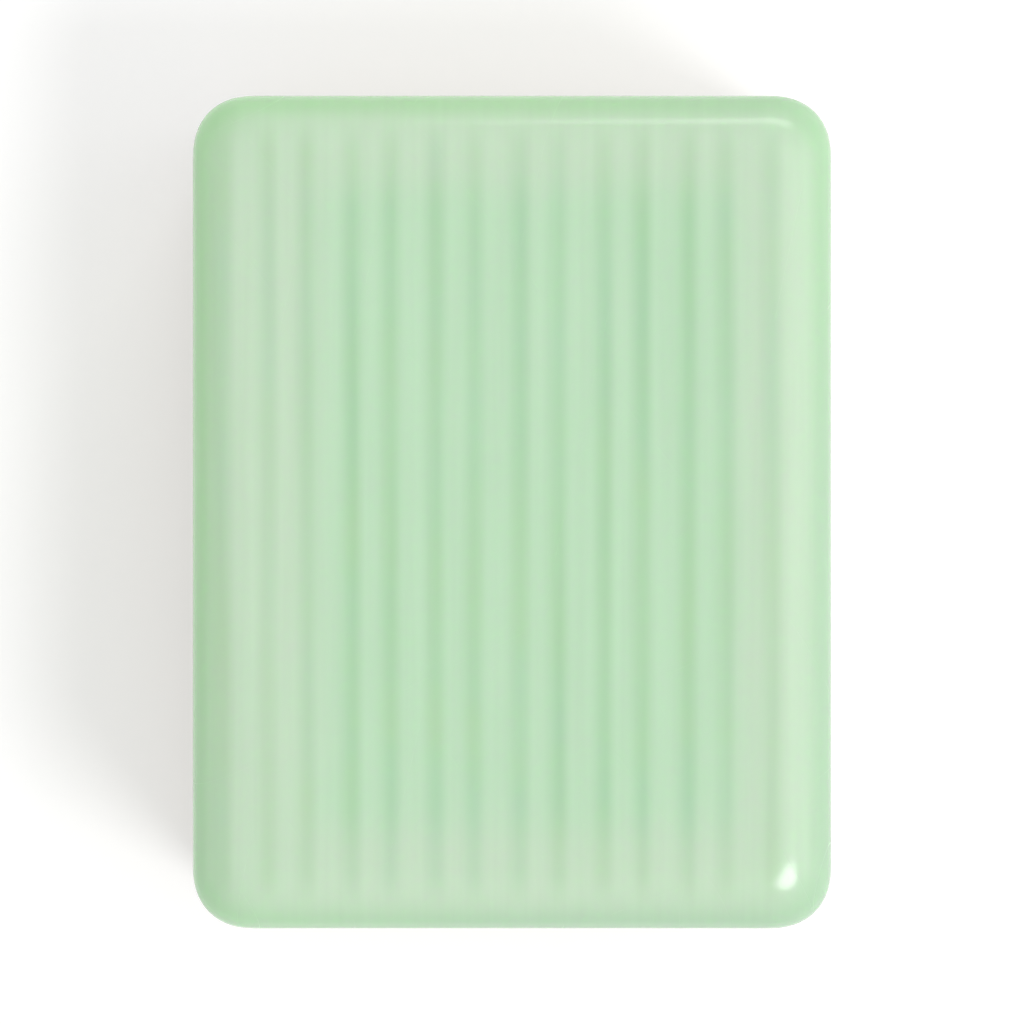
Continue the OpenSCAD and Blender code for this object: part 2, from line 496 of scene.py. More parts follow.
# %% Helpers for colours and nodes
# Sockets of the Mix node when it mixes colours
MIX_A, MIX_B, MIX_RESULT = 6, 7, 2
# A Map Range rises from zero to one by itself, and falls from one to zero with this
FALLING = {"To Min": 1.0, "To Max": 0.0}
# Nearly all the values of a noise lie in this range
NOISE_RANGE = {"From Min": 0.3, "From Max": 0.7}


def linear(hex_code):
    """Linear RGBA of an sRGB colour such as #c8e4c6."""
    channels = [int(hex_code[i : i + 2], 16) / 255 for i in (1, 3, 5)]
    return [c / 12.92 if c <= 0.04045 else ((c + 0.055) / 1.055) ** 2.4 for c in channels] + [1.0]


def add(tree, kind, inputs, output=0, **settings):
    """Adds a node with its settings, sets or links its inputs, and returns one of its outputs."""
    node = tree.nodes.new(kind)
    for name, value in settings.items():
        setattr(node, name, value)
    for name, value in inputs.items():
        if isinstance(value, bpy.types.NodeSocket):
            tree.links.new(value, node.inputs[name])
        else:
            node.inputs[name].default_value = value
    return node.outputs[output]


def new_material(name):
    """Empty material of that name, its node tree and its shader."""
    material = bpy.data.materials.new(name)
    material.use_nodes = True
    return material, material.node_tree, material.node_tree.nodes["Principled BSDF"]


def points_in_mm(tree):
    """Place of each point of a surface in the tile's own coordinates, in millimetres."""
    place = add(tree, "ShaderNodeTexCoord", {}, "Object")
    return add(tree, "ShaderNodeVectorMath", {0: place, "Scale": 1 / MM}, operation="SCALE")


# %% [markdown]
# ### The polish
#
# Both halves are glued, then tumbled and buffed as one, so they share one polish: a clear gloss with
# a faint waviness, and a few hairlines where grit was dragged along. Such scratches could be drawn
# as thin solids, but they have no real depth. Here the tile is cut into slanted lanes, each with one
# hairline at a place of its own that bends a little, and a noise says where along it the grit bit.

# %% Hairlines
# A hairline is a few thousandths of a millimetre wide, drawn at this width so that it shows
HAIR_WIDTH = 0.03
# It bends aside by up to this much, and back again over about this length
HAIR_BEND = 1.6
HAIR_BEND_LENGTH = 22.0
# The grit bites for about this length, and sinks in between these two values of a noise
HAIR_LENGTH = 6.0
BITE_START, BITE_FULL = 0.5, 0.62
# Each set of lanes is turned its own way about X, Y and Z, so that it crosses the sides at a slant too
LANE_WIDTH = 4.2
LANE_TURNS = ((7, 12, 14), (-14, 6, 66), (9, -13, -37))


def hairlines_in_lanes(tree, in_mm, turn):
    """One on a hairline and zero beside it, with one hairline in each lane."""
    rotation = [math.radians(degrees) for degrees in turn]
    turned = add(tree, "ShaderNodeMapping", {"Vector": in_mm, "Rotation": rotation})
    x = add(tree, "ShaderNodeSeparateXYZ", {"Vector": turned}, "X")
    sway = add(
        tree, "ShaderNodeTexNoise", {"Vector": turned, "Scale": 1 / HAIR_BEND_LENGTH, "Detail": 0.0}, "Fac",
    )
    across = add(tree, "ShaderNodeMath", {0: sway, 1: HAIR_BEND, 2: x}, operation="MULTIPLY_ADD")
    lane = add(tree, "ShaderNodeMath", {0: across, 1: LANE_WIDTH}, operation="SNAP")
    drawn = add(tree, "ShaderNodeTexWhiteNoise", {"W": lane}, "Value", noise_dimensions="1D")
    place = add(tree, "ShaderNodeMath", {0: drawn, 1: LANE_WIDTH, 2: lane}, operation="MULTIPLY_ADD")
    from_line = add(tree, "ShaderNodeMath", {0: across, 1: place}, operation="SUBTRACT")
    off_line = add(tree, "ShaderNodeMath", {0: from_line}, operation="ABSOLUTE")
    line = add(
        tree, "ShaderNodeMapRange",
        {"Value": off_line, "From Min": 0.0, "From Max": HAIR_WIDTH / 2, **FALLING},
    )
    bite = add(
        tree, "ShaderNodeTexNoise",
        {"Vector": turned, "W": lane, "Scale": 1 / HAIR_LENGTH, "Detail": 0.0}, "Fac",
        noise_dimensions="4D",
    )
    bitten = add(
        tree, "ShaderNodeMapRange", {"Value": bite, "From Min": BITE_START, "From Max": BITE_FULL},
    )
    return add(tree, "ShaderNodeMath", {0: line, 1: bitten}, operation="MULTIPLY")


def hairlines(tree, in_mm):
    """The hairlines of all the sets of lanes together."""
    lines = 0.0
    for turn in LANE_TURNS:
        more = hairlines_in_lanes(tree, in_mm, turn)
        lines = add(tree, "ShaderNodeMath", {0: more, 1: lines}, operation="MAXIMUM")
    return lines


print(f"hairlines: {len(LANE_TURNS)} sets, one in every {LANE_WIDTH} mm")

# %% The polish of both halves
# Roughness where the buff went over best and least, and how far apart such places are
GLOSS_BEST, GLOSS_LEAST = 0.14, 0.22
BUFF_SPACING = 0.7
# The waviness that tumbling leaves
WAVE_DEPTH = 0.005 * MM
WAVE_LENGTH = 2.2
# How deep a hairline is, and how much it adds to the roughness
HAIR_DEPTH = 0.0025 * MM
HAIR_ROUGHNESS = 0.12


def polish(tree, in_mm, shader):
    """Links the polish to the shader: an uneven gloss, hairlines and a faint waviness."""
    lines = hairlines(tree, in_mm)
    buffed = add(
        tree, "ShaderNodeTexNoise",
        {"Vector": in_mm, "Scale": 1 / BUFF_SPACING, "Detail": 5.0, "Roughness": 0.65, "Distortion": 1.2},
        "Fac",
    )
    gloss = add(
        tree, "ShaderNodeMapRange",
        {"Value": buffed, **NOISE_RANGE, "To Min": GLOSS_BEST, "To Max": GLOSS_LEAST},
    )
    roughness = add(
        tree, "ShaderNodeMath", {0: lines, 1: HAIR_ROUGHNESS, 2: gloss}, operation="MULTIPLY_ADD",
    )
    wave = add(
        tree, "ShaderNodeTexNoise", {"Vector": in_mm, "Scale": 1 / WAVE_LENGTH, "Detail": 1.0}, "Fac",
    )
    waved = add(tree, "ShaderNodeBump", {"Height": wave, "Distance": WAVE_DEPTH}, "Normal")
    scratched = add(
        tree, "ShaderNodeBump", {"Height": lines, "Distance": HAIR_DEPTH, "Normal": waved}, "Normal",
        invert=True,
    )
    tree.links.new(roughness, shader.inputs["Roughness"])
    tree.links.new(scratched, shader.inputs["Normal"])


# %% [markdown]
# ### Milky acrylic
#
# Acrylic is a clear glassy plastic. A little white pigment makes it milky: light goes in, scatters
# and comes out close by, so edges glow and shading is soft. The back has the least pigment and the
# block has the most, but the plastic and its mirror-like surface are the same. A pale colour alone
# would look like paint, so both scatter light under the surface, with their own reach.

# %% Scattering in the acrylic
ACRYLIC_IOR = 1.49


def make_milky(shader, colour_reach, depth):
    """Makes the shader scatter light, with the reach of red, green and blue as shares of that depth."""
    shader.inputs["IOR"].default_value = ACRYLIC_IOR
    shader.inputs["Subsurface Weight"].default_value = 1.0
    shader.inputs["Subsurface Radius"].default_value = colour_reach
    shader.inputs["Subsurface Scale"].default_value = depth


# %% [markdown]
# ### Green acrylic, moulded and polished
#
# Over the core the back is thin, and the core's ribs show through as soft lines where their walls
# turn the light down into the grooves. Round the core the plastic is deeper and catches light from
# the side, so it is paler. Light that crosses the whole tile comes out greener and a little yellower,
# and where the melt flowed along the ribs it left the faintest of streaks.
#
# All this could be left to the renderer, with real scattering over the real core, but that takes
# thousands of samples and is lost when the model leaves Blender. So the light that comes back is
# painted, from the core's own pitch and widths: painted shade along the ribs' walls and painted light
# on the paler margin and on the walls. Scattering only softens the shading. The paint goes on in four
# steps: the field, the walls, the shade of the ribs and the streaks.

# %% The field of the back, greener over the core
# The margin is painted paler than the window, as painted light for the side light that the deeper plastic
# catches
MARGIN_GREEN = "#cae0c7"
WINDOW_GREEN = "#c3e1c3"
# Middle and half size of the greener window over the core, and how softly it ends
WINDOW_CENTRE = (0.55, 0.15, 0.0)
WINDOW_HALF = (7.5, 11.5, 0.0)
WINDOW_SOFT = 1.2
# Clouds in the milk: their size, and how far they shift the field towards either green
CLOUD_SIZE = 6.25
CLOUD_SHIFT = 0.22


def window_over_core(tree, in_mm):
    """One over the core and zero over the margin, fading along a rectangle with round corners."""
    flat = add(tree, "ShaderNodeVectorMath", {0: in_mm, 1: (1, 1, 0)}, operation="MULTIPLY")
    off_centre = add(tree, "ShaderNodeVectorMath", {0: flat, 1: WINDOW_CENTRE}, operation="SUBTRACT")
    mirrored = add(tree, "ShaderNodeVectorMath", {0: off_centre}, operation="ABSOLUTE")
    straight = tuple(max(half - WINDOW_SOFT, 0) for half in WINDOW_HALF)
    beyond = add(tree, "ShaderNodeVectorMath", {0: mirrored, 1: straight}, operation="SUBTRACT")
    outside = add(tree, "ShaderNodeVectorMath", {0: beyond, 1: (0, 0, 0)}, operation="MAXIMUM")
    distance = add(tree, "ShaderNodeVectorMath", {0: outside}, "Value", operation="LENGTH")
    return add(
        tree, "ShaderNodeMapRange",
        {"Value": distance, "From Min": 0.0, "From Max": 2 * WINDOW_SOFT, **FALLING},
        interpolation_type="SMOOTHSTEP",
    )


def clouds(tree, in_mm):
    """Noise of the clouds in the milk."""
    return add(
        tree, "ShaderNodeTexNoise",
        {"Vector": in_mm, "Scale": 1 / CLOUD_SIZE, "Detail": 3.0, "Roughness": 0.55, "Distortion": 0.6},
        "Fac",
    )


def field_colour(tree, window, milk):
    """Green of the flat back, from the margin's to the window's."""
    shift = add(
        tree, "ShaderNodeMapRange",
        {"Value": milk, **NOISE_RANGE, "To Min": -CLOUD_SHIFT, "To Max": CLOUD_SHIFT},
    )
    clouded = add(tree, "ShaderNodeMath", {0: window, 1: shift}, operation="ADD", use_clamp=True)
    return add(
        tree, "ShaderNodeMix",
        {"Factor": clouded, MIX_A: linear(MARGIN_GREEN), MIX_B: linear(WINDOW_GREEN)},
        MIX_RESULT, data_type="RGBA",
    )


print(f"window over the core: {2 * WINDOW_HALF[0]:.0f} x {2 * WINDOW_HALF[1]:.0f} mm")

# %% The walls, with painted light that is greener away from the lamp
# Painted light on the walls: paler towards the lamp, greener where light that crossed the tile comes out
PAINTED_NEAR_WALL_GREEN = "#b6d5b6"
PAINTED_FAR_WALL_GREEN = "#b6deb0"
# Where the lamp stands, in degrees anticlockwise from +X
LAMP_BEARING = -39
# The rim and walls turn a deeper green: partly the longer path through the plastic, partly painted shade
# Depths under the back at which the rim begins to turn to the wall's green, and has turned to it
TURN_START, TURN_END = 0.08, 0.9


def walled_colour(tree, in_mm, z, field):
    """The field on the back, and down the rim and below it the walls' green with painted light and shade."""
    to_lamp = (math.cos(math.radians(LAMP_BEARING)), math.sin(math.radians(LAMP_BEARING)), 0.0)
    crossing = HALF_W / MM * to_lamp[0]
    towards = add(tree, "ShaderNodeVectorMath", {0: in_mm, 1: to_lamp}, "Value", operation="DOT_PRODUCT")
    near_lamp = add(
        tree, "ShaderNodeMapRange", {"Value": towards, "From Min": -crossing, "From Max": crossing},
    )
    side = add(
        tree, "ShaderNodeMix",
        {"Factor": near_lamp, MIX_A: linear(PAINTED_FAR_WALL_GREEN), MIX_B: linear(PAINTED_NEAR_WALL_GREEN)},
        MIX_RESULT, data_type="RGBA",
    )
    on_wall = add(
        tree, "ShaderNodeMapRange",
        {"Value": z, "From Min": BACK_Z / MM - TURN_END, "From Max": BACK_Z / MM - TURN_START, **FALLING},
        interpolation_type="SMOOTHSTEP",
    )
    return add(
        tree, "ShaderNodeMix", {"Factor": on_wall, MIX_A: field, MIX_B: side},
        MIX_RESULT, data_type="RGBA",
    )


# %% A soft line of painted shade at each wall of each rib
# Distance of a rib's wall from the rib's middle, halfway up
RIB_WALL = (RIB_TOP_W + RIB_ROOT_W) / 4 / MM
# The shade rises slowly from the left of a wall and ends sooner on its right, towards the light
RIB_BLUR_LEFT = 0.66
RIB_BLUR_RIGHT = 0.5
# Light comes mostly from the right, so the ribs' painted shade lies a little to their left
RIB_SHADE_SHIFT = 0.5
# How softly the lines end beside the outermost ribs
BESIDE_SOFT = 0.2


def rib_shade_lines(tree, x):
    """One on the line of each wall of each rib, and zero between the lines and beside the ribs."""
    across = add(tree, "ShaderNodeMath", {0: x, 1: RIB_SHADE_SHIFT}, operation="ADD")
    half_pitch = RIB_PITCH / MM / 2
    from_rib = add(tree, "ShaderNodeMath", {0: across, 1: half_pitch, 2: -half_pitch}, operation="WRAP")
    off_rib_middle = add(tree, "ShaderNodeMath", {0: from_rib}, operation="ABSOLUTE")
    past_wall = add(tree, "ShaderNodeMath", {0: off_rib_middle, 1: RIB_WALL}, operation="SUBTRACT")
    side_of_rib = add(tree, "ShaderNodeMath", {0: from_rib}, operation="SIGN")
    right_of_wall = add(tree, "ShaderNodeMath", {0: past_wall, 1: side_of_rib}, operation="MULTIPLY")
    rise = add(
        tree, "ShaderNodeMapRange", {"Value": right_of_wall, "From Min": -RIB_BLUR_LEFT, "From Max": 0.0},
        interpolation_type="SMOOTHSTEP",
    )
    fall = add(
        tree, "ShaderNodeMapRange",
        {"Value": right_of_wall, "From Min": 0.0, "From Max": RIB_BLUR_RIGHT, **FALLING},
        interpolation_type="SMOOTHSTEP",
    )
    line = add(tree, "ShaderNodeMath", {0: rise, 1: fall}, operation="MULTIPLY")
    far_out = add(tree, "ShaderNodeMath", {0: across}, operation="ABSOLUTE")
    ribs_end = RIB_COUNT * RIB_PITCH / MM / 2
    over_ribs = add(
        tree, "ShaderNodeMapRange",
        {"Value": far_out, "From Min": ribs_end - BESIDE_SOFT, "From Max": ribs_end + BESIDE_SOFT,
         **FALLING},
    )
    return add(tree, "ShaderNodeMath", {0: line, 1: over_ribs}, operation="MULTIPLY")


print(f"rib lines: {RIB_WALL:.2f} mm on either side of ribs {RIB_PITCH / MM:.1f} mm apart")

# %% How strongly the lines show from place to place
# Painted rib shade over the margin, over the window, and on the end walls, where only the ribs' ends show
MARGIN_STRENGTH = 0.55
WINDOW_STRENGTH = 0.8
END_STRENGTH = 0.45
# How softly they end above and below the ribs' ends
END_SOFT = 0.3
# They begin to fade this far short of the core's end, and are gone this far past it
FADE_BEFORE, FADE_AFTER = 1.0, 0.6


def line_strength(tree, window, y, z):
    """Strength of the lines on the back, over the core's length, and on the end walls."""
    far_along = add(tree, "ShaderNodeMath", {0: y}, operation="ABSOLUTE")
    core_end = core_l / MM / 2
    along_ribs = add(
        tree, "ShaderNodeMapRange",
        {"Value": far_along, "From Min": core_end - FADE_BEFORE, "From Max": core_end + FADE_AFTER,
         **FALLING},
        interpolation_type="SMOOTHSTEP",
    )
    strength = add(
        tree, "ShaderNodeMapRange", {"Value": window, "To Min": MARGIN_STRENGTH, "To Max": WINDOW_STRENGTH},
    )
    on_back = add(tree, "ShaderNodeMath", {0: along_ribs, 1: strength}, operation="MULTIPLY")

    rib_middle = (core_hi.z + rib_root_z) / 2 / MM
    half_h = RIB_H / MM / 2
    off_rib = add(tree, "ShaderNodeMath", {0: z, 1: rib_middle}, operation="SUBTRACT")
    rib_height = add(tree, "ShaderNodeMath", {0: off_rib}, operation="ABSOLUTE")
    at_rib_ends = add(
        tree, "ShaderNodeMapRange",
        {"Value": rib_height, "From Min": half_h - END_SOFT, "From Max": half_h + END_SOFT,
         "To Min": END_STRENGTH, "To Max": 0.0},
        interpolation_type="SMOOTHSTEP",
    )
    beyond_core = add(tree, "ShaderNodeMath", {0: 1.0, 1: along_ribs}, operation="SUBTRACT")
    on_ends = add(tree, "ShaderNodeMath", {0: beyond_core, 1: at_rib_ends}, operation="MULTIPLY")
    return add(tree, "ShaderNodeMath", {0: on_back, 1: on_ends}, operation="ADD")


# %% The shade of the ribs
RIB_SHADE_COOL = "#e4f2ea"
RIB_SHADE_WARM = "#e9f3e3"
# The clouds turn the shade from cool to warm between these values of their noise
COOL_MILK, WARM_MILK = 0.35, 0.65
# The lines are weaker and stronger by these factors, in patches 2 mm wide and about 17 mm long
LINE_WEAKER, LINE_STRONGER = 0.75, 1.15
PATCH_SCALE = (0.5, 0.06, 0.06)


def made_uneven(tree, in_mm, lines):
    """Those lines, weaker and stronger in patches that are long along the ribs."""
    drawn_out = add(tree, "ShaderNodeVectorMath", {0: in_mm, 1: PATCH_SCALE}, operation="MULTIPLY")
    patches = add(tree, "ShaderNodeTexNoise", {"Vector": drawn_out, "Scale": 1.0, "Detail": 2.0}, "Fac")
    evenness = add(
        tree, "ShaderNodeMapRange",
        {"Value": patches, **NOISE_RANGE, "To Min": LINE_WEAKER, "To Max": LINE_STRONGER},
    )
    return add(tree, "ShaderNodeMath", {0: lines, 1: evenness}, operation="MULTIPLY")


def ribbed_colour(tree, milk, shade, colour):
    """That colour, darkened by the shade in a cool or a warm green."""
    warmth = add(
        tree, "ShaderNodeMapRange", {"Value": milk, "From Min": COOL_MILK, "From Max": WARM_MILK},
    )
    tint = add(
        tree, "ShaderNodeMix",
        {"Factor": warmth, MIX_A: linear(RIB_SHADE_COOL), MIX_B: linear(RIB_SHADE_WARM)},
        MIX_RESULT, data_type="RGBA",
    )
    return add(
        tree, "ShaderNodeMix", {"Factor": shade, MIX_A: colour, MIX_B: tint},
        MIX_RESULT, data_type="RGBA", blend_type="MULTIPLY",
    )


# %% The streaks of the melt, and the whole green acrylic
# Streaks are this wide and this long, and this much lighter or darker
STREAK_WIDTH = 0.45
STREAK_LENGTH = 14.0
STREAK_CHANGE = 0.02
# They are darkest and lightest at these values of their noise
DARK_STREAK, LIGHT_STREAK = 0.25, 0.75
# Green light reaches furthest in green plastic
GREEN_REACH = (0.55, 1.0, 0.5)
GREEN_DEPTH = 0.9 * MM


def streaked_colour(tree, in_mm, colour):
    """That colour, with the streaks of the melt along the ribs."""
    streak_scale = (1 / STREAK_WIDTH, 1 / STREAK_LENGTH, 1 / STREAK_LENGTH)
    drawn_out = add(tree, "ShaderNodeVectorMath", {0: in_mm, 1: streak_scale}, operation="MULTIPLY")
    streak = add(tree, "ShaderNodeTexNoise", {"Vector": drawn_out, "Scale": 1.0, "Detail": 2.0}, "Fac")
    change = add(
        tree, "ShaderNodeMapRange",
        {"Value": streak, "From Min": DARK_STREAK, "From Max": LIGHT_STREAK,
         "To Min": 1 - STREAK_CHANGE, "To Max": 1 + STREAK_CHANGE},
    )
    return add(tree, "ShaderNodeVectorMath", {0: colour, "Scale": change}, operation="SCALE")


def green_acrylic():
    material, tree, shader = new_material("green_acrylic_moulded_polished")
    in_mm = points_in_mm(tree)
    x, y, z = add(tree, "ShaderNodeSeparateXYZ", {"Vector": in_mm}).node.outputs
    window = window_over_core(tree, in_mm)
    milk = clouds(tree, in_mm)
    walled = walled_colour(tree, in_mm, z, field_colour(tree, window, milk))
    lines = made_uneven(tree, in_mm, rib_shade_lines(tree, x))
    strength = line_strength(tree, window, y, z)
    shade = add(tree, "ShaderNodeMath", {0: lines, 1: strength}, operation="MULTIPLY", use_clamp=True)
    ribbed = ribbed_colour(tree, milk, shade, walled)
    tree.links.new(streaked_colour(tree, in_mm, ribbed), shader.inputs["Base Color"])
    polish(tree, in_mm, shader)
    make_milky(shader, GREEN_REACH, GREEN_DEPTH)
    return material


cap.data.materials.append(green_acrylic())
print("finish:", cap.data.materials[0].name)

# %% [markdown]
# ### Ivory acrylic, moulded, engraved and polished
#
# The block is the same acrylic with more white and a drop of yellow. It is nearly opaque, so the
# scattering is short. The polish is the same as on the back, because both are tumbled as one.

# %% Ivory acrylic
FACE_IVORY = "#ebe6d8"
SHADE_IVORY = "#e4dfce"
# The pigment is never mixed quite evenly, and lies in clouds of this size
PIGMENT_CLOUD_SIZE = 8.3
# Blue light reaches least far in yellowish plastic
IVORY_REACH = (1.0, 0.9, 0.7)
IVORY_DEPTH = 0.4 * MM


def ivory_acrylic():
    material, tree, shader = new_material("ivory_acrylic_engraved_polished")
    in_mm = points_in_mm(tree)
    cloud = add(
        tree, "ShaderNodeTexNoise",
        {"Vector": in_mm, "Scale": 1 / PIGMENT_CLOUD_SIZE, "Detail": 3.0, "Roughness": 0.5,
         "Distortion": 0.8}, "Fac",
    )
    tone = add(
        tree, "ShaderNodeMix",
        {"Factor": cloud, MIX_A: linear(FACE_IVORY), MIX_B: linear(SHADE_IVORY)},
        MIX_RESULT, data_type="RGBA",
    )
    tree.links.new(tone, shader.inputs["Base Color"])
    polish(tree, in_mm, shader)
    make_milky(shader, IVORY_REACH, IVORY_DEPTH)
    return material


block.data.materials.append(ivory_acrylic())
print("finish:", block.data.materials[0].name)

# %% [markdown]
# ### White acrylic, moulded
#
# The core is used as it leaves the mould, which is blasted with grit so that the part lets go of it.
# The plastic takes over that fine grain, which breaks up reflections, so the core is matt. A high
# roughness alone would look like chalk, so the grain is there as a bump and a faint change of tone.

# %% White acrylic
CORE_WHITE = "#eef0e6"
GRAIN_WHITE = "#e5e8dc"
# Blasting leaves a grain of a few hundredths of a millimetre, drawn at this size so that it shows
GRAIN_SIZE = 0.125
GRAIN_DEPTH = 0.01 * MM
GRAIN_STRENGTH = 0.4
MOULDED_ROUGHNESS = 0.45


def moulded_white():
    material, tree, shader = new_material("white_acrylic_moulded_matt")
    in_mm = points_in_mm(tree)
    grain = add(
        tree, "ShaderNodeTexNoise", {"Vector": in_mm, "Scale": 1 / GRAIN_SIZE, "Detail": 4.0}, "Fac",
    )
    tone = add(
        tree, "ShaderNodeMix",
        {"Factor": grain, MIX_A: linear(CORE_WHITE), MIX_B: linear(GRAIN_WHITE)},
        MIX_RESULT, data_type="RGBA",
    )
    bump = add(
        tree, "ShaderNodeBump",
        {"Height": grain, "Strength": GRAIN_STRENGTH, "Distance": GRAIN_DEPTH}, "Normal",
    )
    tree.links.new(tone, shader.inputs["Base Color"])
    tree.links.new(bump, shader.inputs["Normal"])
    shader.inputs["Roughness"].default_value = MOULDED_ROUGHNESS
    shader.inputs["IOR"].default_value = ACRYLIC_IOR
    return material


core.data.materials.clear()
core.data.materials.append(moulded_white())
print("finish:", core.data.materials[0].name)

# %% [markdown]
# ### Acrylic cement, cured
#
# The adhesive is a cement of acrylic in a solvent. It cures clear, with the gloss of a surface that
# set by itself, and shows the pale plastic behind it. A clear material would be the true way, but
# behind a tenth of a millimetre it only costs time, so the cement has the colour that shows through.

# %% Acrylic cement
CEMENT = "#dfe5d2"
CEMENT_CLOUD = "#d5ddc6"
# The plastic behind it shows unevenly, where the cement is thicker or thinner, over this length
CEMENT_CLOUD_SIZE = 1.25
CEMENT_ROUGHNESS = 0.25
CEMENT_IOR = 1.48


def cured_cement():
    material, tree, shader = new_material("acrylic_cement_cured")
    in_mm = points_in_mm(tree)
    cloud = add(
        tree, "ShaderNodeTexNoise", {"Vector": in_mm, "Scale": 1 / CEMENT_CLOUD_SIZE, "Detail": 3.0}, "Fac",
    )
    tone = add(
        tree, "ShaderNodeMix",
        {"Factor": cloud, MIX_A: linear(CEMENT), MIX_B: linear(CEMENT_CLOUD)},
        MIX_RESULT, data_type="RGBA",
    )
    tree.links.new(tone, shader.inputs["Base Color"])
    shader.inputs["Roughness"].default_value = CEMENT_ROUGHNESS
    shader.inputs["IOR"].default_value = CEMENT_IOR
    return material


bead.data.materials.append(cured_cement())
print("finish:", bead.data.materials[0].name)

# %% [markdown]
# ### Enamel, brushed in and wiped
#
# Engraving enamel is a thick glossy paint. Brushed into a narrow cut it dries with a faint unevenness,
# darker where it is deep and a touch lighter where the wipe has thinned it. One flat colour would
# look printed, so one noise drives the colour, the gloss and the height of the brushed film.

# %% Enamel
# Colour of the deep and of the thin enamel
ENAMEL = {"green": ("#1d6a45", "#27795a"), "red": ("#b22a2c", "#c23e3a"), "blue": ("#1f4484", "#2c5596")}
# The brush leaves unevenness about this far apart and this deep
BRUSH_SPACING = 0.625
BRUSH_DEPTH = 0.015 * MM
BRUSH_STRENGTH = 0.5
ENAMEL_GLOSS_BEST, ENAMEL_GLOSS_LEAST = 0.18, 0.32
ENAMEL_IOR = 1.52


def enamel(colour):
    material, tree, shader = new_material(f"{colour}_enamel_brushed")
    in_mm = points_in_mm(tree)
    deep, thin = ENAMEL[colour]
    brushed = add(
        tree, "ShaderNodeTexNoise",
        {"Vector": in_mm, "Scale": 1 / BRUSH_SPACING, "Detail": 4.0, "Roughness": 0.6}, "Fac",
    )
    tone = add(
        tree, "ShaderNodeMix", {"Factor": brushed, MIX_A: linear(deep), MIX_B: linear(thin)},
        MIX_RESULT, data_type="RGBA",
    )
    sheen = add(
        tree, "ShaderNodeMapRange",
        {"Value": brushed, **NOISE_RANGE, "To Min": ENAMEL_GLOSS_BEST, "To Max": ENAMEL_GLOSS_LEAST},
    )
    bump = add(
        tree, "ShaderNodeBump",
        {"Height": brushed, "Strength": BRUSH_STRENGTH, "Distance": BRUSH_DEPTH}, "Normal",
    )
    tree.links.new(tone, shader.inputs["Base Color"])
    tree.links.new(sheen, shader.inputs["Roughness"])
    tree.links.new(bump, shader.inputs["Normal"])
    shader.inputs["IOR"].default_value = ENAMEL_IOR
    return material


finishes = {colour: enamel(colour) for colour in ENAMEL}
for node, film in films.items():
    film.data.materials.append(finishes[ROWS[node.split("_")[1]]])
print("finish:", ", ".join(material.name for material in finishes.values()))

# %% [markdown]
# ## Put the pieces on the tile
#
# Nothing on a tile moves, so every new piece rides on the one body and takes the place of its node,
# which is hidden.

# %% Ride, and hide the nodes that the pieces replace
for piece, node, slot in (
    (cap, "back_cap", "back_green"),
    (block, "face_block", "face_ivory"),
    (bead, "bond_frame", "adhesive"),
):
    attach(piece, BODY)
    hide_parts(node)
for node, film in films.items():
    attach(film, BODY)
    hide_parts(node)

# %% [markdown]
# ## Table and light
#
# The tile lies on white paper under soft light. A round lamp to the lower right makes the highlight
# on the corner, a big softbox on the right makes that side paler, and a strip beyond the top edge
# makes the thin line of light along it. The world fills the rest, so that all of it together lights
# a level surface with a strength of about one, and a colour looks as it is written.
# The paper is seen as white by adding what the light lacks, but only where it is seen directly or in
# a reflection. More light would do that too, but it would bleach the tile.

# %% World
WORLD_LEVEL = 0.69


def seen_directly(tree):
    """One for rays that show the surroundings: from the camera, in gloss or through glass."""
    path = tree.nodes.new("ShaderNodeLightPath")
    mirrored = add(
        tree, "ShaderNodeMath",
        {0: path.outputs["Is Camera Ray"], 1: path.outputs["Is Glossy Ray"]}, operation="MAXIMUM",
    )
    return add(
        tree, "ShaderNodeMath",
        {0: mirrored, 1: path.outputs["Is Transmission Ray"]}, operation="MAXIMUM",
    )


world = bpy.data.worlds.new("white_studio")
world.use_nodes = True
bpy.context.scene.world = world
sky = world.node_tree
level = add(
    sky, "ShaderNodeMapRange", {"Value": seen_directly(sky), "To Min": WORLD_LEVEL, "To Max": 1.0},
)
sky.nodes["Background"].inputs["Color"].default_value = (1, 1, 1, 1)
sky.links.new(level, sky.nodes["Background"].inputs["Strength"])
print(f"world: lights with a level of {WORLD_LEVEL}, seen as white")

# %% Paper
PAPER_WHITE = "#f2f2f2"
PAPER_ROUGHNESS = 0.9
# What is added to the paper where it is seen, so that it is seen as white
PAPER_LIFT = 0.2
PAPER_SIZE = 0.8
PAPER_SQUARES = 8
# The paper lies a hair below the face, so that the two surfaces don't share one plane
PAPER_GAP = 0.02 * MM


def white_paper():
    material, tree, shader = new_material("white_paper_matt")
    shader.inputs["Base Color"].default_value = linear(PAPER_WHITE)
    shader.inputs["Roughness"].default_value = PAPER_ROUGHNESS
    shader.inputs["Specular IOR Level"].default_value = 0.0
    lift = add(tree, "ShaderNodeMath", {0: seen_directly(tree), 1: PAPER_LIFT}, operation="MULTIPLY")
    glow = add(tree, "ShaderNodeEmission", {"Color": (1, 1, 1, 1), "Strength": lift})
    both = add(tree, "ShaderNodeAddShader", {0: shader.outputs[0], 1: glow})
    tree.links.new(both, tree.nodes["Material Output"].inputs["Surface"])
    return material


paper_form = bmesh.new()
bmesh.ops.create_grid(
    paper_form, x_segments=PAPER_SQUARES, y_segments=PAPER_SQUARES, size=PAPER_SIZE / 2,
)
paper = new_piece("paper", paper_form)
paper.location.z = FACE_Z - PAPER_GAP
paper.data.materials.append(white_paper())
print(f"paper: {PAPER_SIZE} m square")

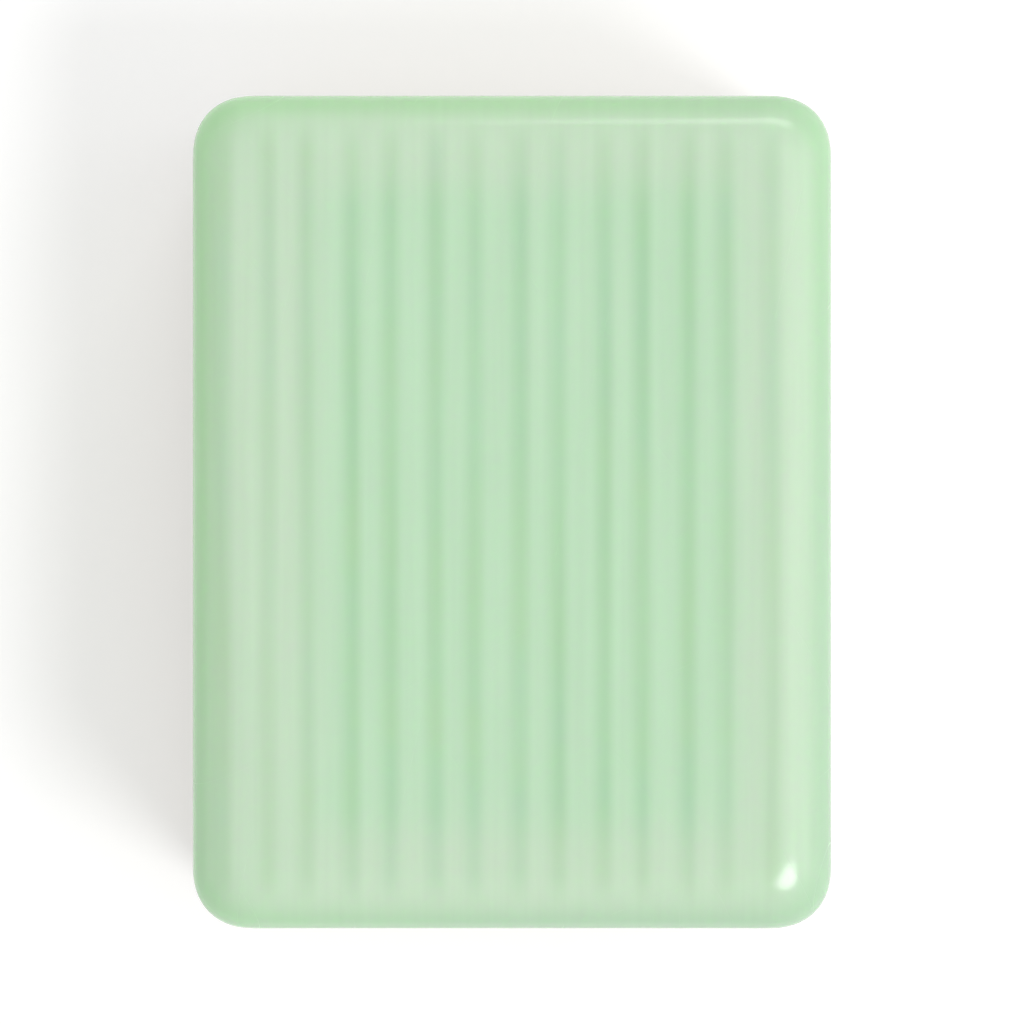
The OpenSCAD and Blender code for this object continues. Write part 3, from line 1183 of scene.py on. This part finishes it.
# %% Lamp, softbox and strip
# Power that gives a radiance of one, for each square metre of a light's width times its height
POWER_OF_RADIANCE = 4


def area_light(name, shape, bearing, tilt, distance, wide, high, radiance):
    """Area light seen from the tile at that bearing, anticlockwise from +X, and tilt from straight up."""
    data = bpy.data.lights.new(name, "AREA")
    data.shape = shape
    data.size, data.size_y = wide, high
    data.energy = radiance * POWER_OF_RADIANCE * wide * high
    light = bpy.data.objects.new(name, data)
    bpy.context.scene.collection.objects.link(light)
    bearing, tilt = math.radians(bearing), math.radians(tilt)
    level_part = math.sin(tilt)
    towards = Vector((level_part * math.cos(bearing), level_part * math.sin(bearing), math.cos(tilt)))
    light.location = Vector((0, 0, BACK_Z)) + distance * towards
    light.rotation_euler = towards.to_track_quat("Z", "Y").to_euler()
    light.visible_camera = False


area_light("lamp", "ELLIPSE", bearing=LAMP_BEARING, tilt=37, distance=1.2, wide=0.42, high=0.4, radiance=6.2)
area_light("softbox", "RECTANGLE", bearing=0, tilt=46, distance=1.5, wide=1.2, high=1.1, radiance=0.5)
area_light("strip", "RECTANGLE", bearing=71.6, tilt=57, distance=1.5, wide=0.8, high=0.28, radiance=2.8)
print("lights: lamp, softbox and strip")

# %% [markdown]
# ## Camera
#
# The photograph is taken straight down, from far enough that no side of the tile shows. A long lens
# does the same here from close by.

# %% Camera
LENS_MM = 200
SENSOR_MM = 36
# Share of the picture's height that the tile takes
TILE_SHARE = 0.82
# Nothing nearer or farther than this is drawn, in metres
CLIP_START, CLIP_END = 0.01, 20

camera_data = bpy.data.cameras.new("straight_down")
camera_data.lens = LENS_MM
camera_data.sensor_width = SENSOR_MM
camera_data.clip_start, camera_data.clip_end = CLIP_START, CLIP_END
camera = bpy.data.objects.new("straight_down", camera_data)
bpy.context.scene.collection.objects.link(camera)
view_size = 2 * HALF_L / TILE_SHARE
camera_height = view_size * LENS_MM / SENSOR_MM
camera.location = (0, 0, BACK_Z + camera_height)
bpy.context.scene.camera = camera
bpy.context.scene.view_settings.view_transform = "Standard"
print(f"camera: {camera_height:.3f} m above the back")
